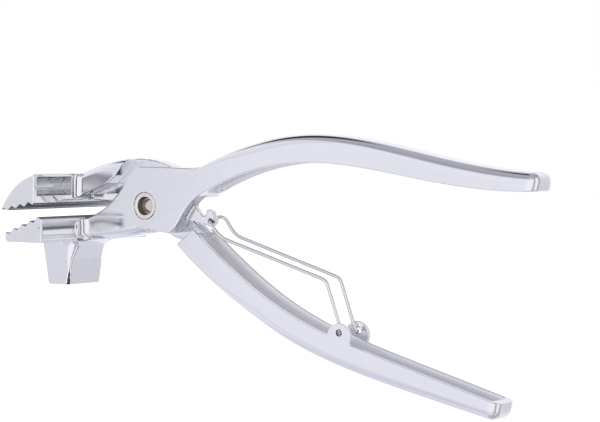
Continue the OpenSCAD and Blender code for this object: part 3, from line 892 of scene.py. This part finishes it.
def addCamera():
    a, e, r = (math.radians(view[k]) for k in ("azimuth", "elevation", "roll"))
    forward = np.array([-math.sin(a) * math.cos(e), math.cos(a) * math.cos(e), -math.sin(e)])
    level = np.array([math.cos(a), math.sin(a), 0])
    upward = np.cross(level, forward)
    right = level * math.cos(r) + upward * math.sin(r)
    up = upward * math.cos(r) - level * math.sin(r)
    cam = bpy.data.cameras.new("camera")
    cam.sensor_width = view["sensor"]
    cam.lens = view["sensor"] * view["focalPixels"] / view["framePixels"]
    cam.clip_start = 0.01
    obj = bpy.data.objects.new("camera", cam)
    m = np.eye(4)
    m[:3, 0], m[:3, 1], m[:3, 2], m[:3, 3] = right, up, -forward, np.array(view["place"]) * metresPerMm
    obj.matrix_world = Matrix(m.tolist())
    bpy.context.scene.collection.objects.link(obj)
    bpy.context.scene.camera = obj


floorPlan = {"size": 6, "height": -0.1, "tone": 0.9, "glow": 0.7}   # metres; the glow is for the camera only


def addFloor():
    bpy.ops.mesh.primitive_plane_add(size=floorPlan["size"], location=(0, 0, floorPlan["height"]))
    floor = bpy.context.object
    floor.name = "floor"
    mat = bpy.data.materials.new("floorWhite")
    mat.use_nodes = True
    nodes, links = mat.node_tree.nodes, mat.node_tree.links
    shader = nodes["Principled BSDF"]
    shader.inputs["Base Color"].default_value = (floorPlan["tone"],) * 3 + (1,)
    shader.inputs["Roughness"].default_value = 0.9
    shader.inputs["Specular IOR Level"].default_value = 0
    shader.inputs["Emission Color"].default_value = (1, 1, 1, 1)
    path = nodes.new("ShaderNodeLightPath")
    strength = nodes.new("ShaderNodeMath")
    strength.operation = "MULTIPLY"
    strength.inputs[1].default_value = floorPlan["glow"]
    links.new(path.outputs["Is Camera Ray"], strength.inputs[0])
    links.new(strength.outputs["Value"], shader.inputs["Emission Strength"])
    floor.data.materials.append(mat)
    floor.visible_glossy = False   # the tent goes on below the object, and the plating shows that


# brightness of the tent that lights the object: by degrees round it from the near side towards the handles,
# and by the sine of the height; dark slots lie between its panels, its roof is darker, and a black card
# hangs above and behind, in the direction given
tent = {
    "around": [(-180, 0.95), (-120, 0.92), (-75, 0.9), (-45, 0.8), (-41, 0.75), (-37.2, 0.77), (-35.3, 0.86),
               (-28, 0.87), (-15, 0.97), (0, 1), (50, 1), (58, 0.9), (61, 0.05), (70, 0.05), (74, 1),
               (112, 1), (117, 0.08), (124, 0.08), (130, 0.66), (150, 0.7), (165, 0.88), (180, 0.95)],
    "height": [(-1, 0.6), (-0.9, 0.6), (-0.84, 0.9), (-0.8, 0.9), (-0.74, 0.8), (-0.6, 0.8), (-0.5, 0.98),
               (-0.1, 1), (0.64, 1), (0.75, 0.5), (1, 0.5)],
    "blue": 1.066,
    "card": (-0.57, 0.2, 0.8), "cardEdge": (0.968, 0.98), "cardTone": 0.08,
}


def addWorld():
    world = bpy.data.worlds.new("tent")
    bpy.context.scene.world = world
    world.use_nodes = True
    nodes, links = world.node_tree.nodes, world.node_tree.links
    background = nodes["Background"]
    where = nodes.new("ShaderNodeTexCoord")
    split = nodes.new("ShaderNodeSeparateXYZ")
    links.new(where.outputs["Generated"], split.inputs[0])
    minusY = nodes.new("ShaderNodeMath")
    minusY.operation = "MULTIPLY"
    minusY.inputs[1].default_value = -1
    links.new(split.outputs["Y"], minusY.inputs[0])
    angle = nodes.new("ShaderNodeMath")
    angle.operation = "ARCTAN2"
    links.new(split.outputs["X"], angle.inputs[0])
    links.new(minusY.outputs[0], angle.inputs[1])
    around = shareRamp(nodes, links, angle.outputs[0], math.pi,
                       [(math.radians(a), v) for a, v in tent["around"]])
    height = shareRamp(nodes, links, split.outputs["Z"], 1, tent["height"])
    towards = nodes.new("ShaderNodeVectorMath")
    towards.operation = "DOT_PRODUCT"
    towards.inputs[1].default_value = tent["card"]
    links.new(where.outputs["Generated"], towards.inputs[0])
    card = ranged(nodes, links, towards.outputs["Value"], *tent["cardEdge"], 1, tent["cardTone"])
    tones = multiplied(nodes, links, multiplied(nodes, links, around, height), card)
    # the camera sees plain white behind the object
    path = nodes.new("ShaderNodeLightPath")
    seen = nodes.new("ShaderNodeMix")
    seen.data_type = "RGBA"
    seen.inputs[7].default_value = (1, 1, 1, 1)
    links.new(tones, seen.inputs[6])
    links.new(path.outputs["Is Camera Ray"], seen.inputs[0])
    links.new(seen.outputs[2], background.inputs["Color"])


def shareRamp(nodes, links, value, reach, stops):
    # a ramp over values from -reach to reach
    share = nodes.new("ShaderNodeMapRange")
    share.inputs["From Min"].default_value = -reach
    share.inputs["From Max"].default_value = reach
    links.new(value, share.inputs["Value"])
    tones = nodes.new("ShaderNodeValToRGB")
    while len(tones.color_ramp.elements) < len(stops):
        tones.color_ramp.elements.new(0.5)
    for element, (at, tone) in zip(tones.color_ramp.elements, stops):
        element.position = (at / reach + 1) / 2
        element.color = (tone, tone, min(tone * tent["blue"], 1), 1)
    links.new(share.outputs[0], tones.inputs["Fac"])
    return tones.outputs["Color"]


addCamera()
addFloor()
addWorld()
bpy.context.scene.view_settings.view_transform = "Standard"
print("stage: studio")
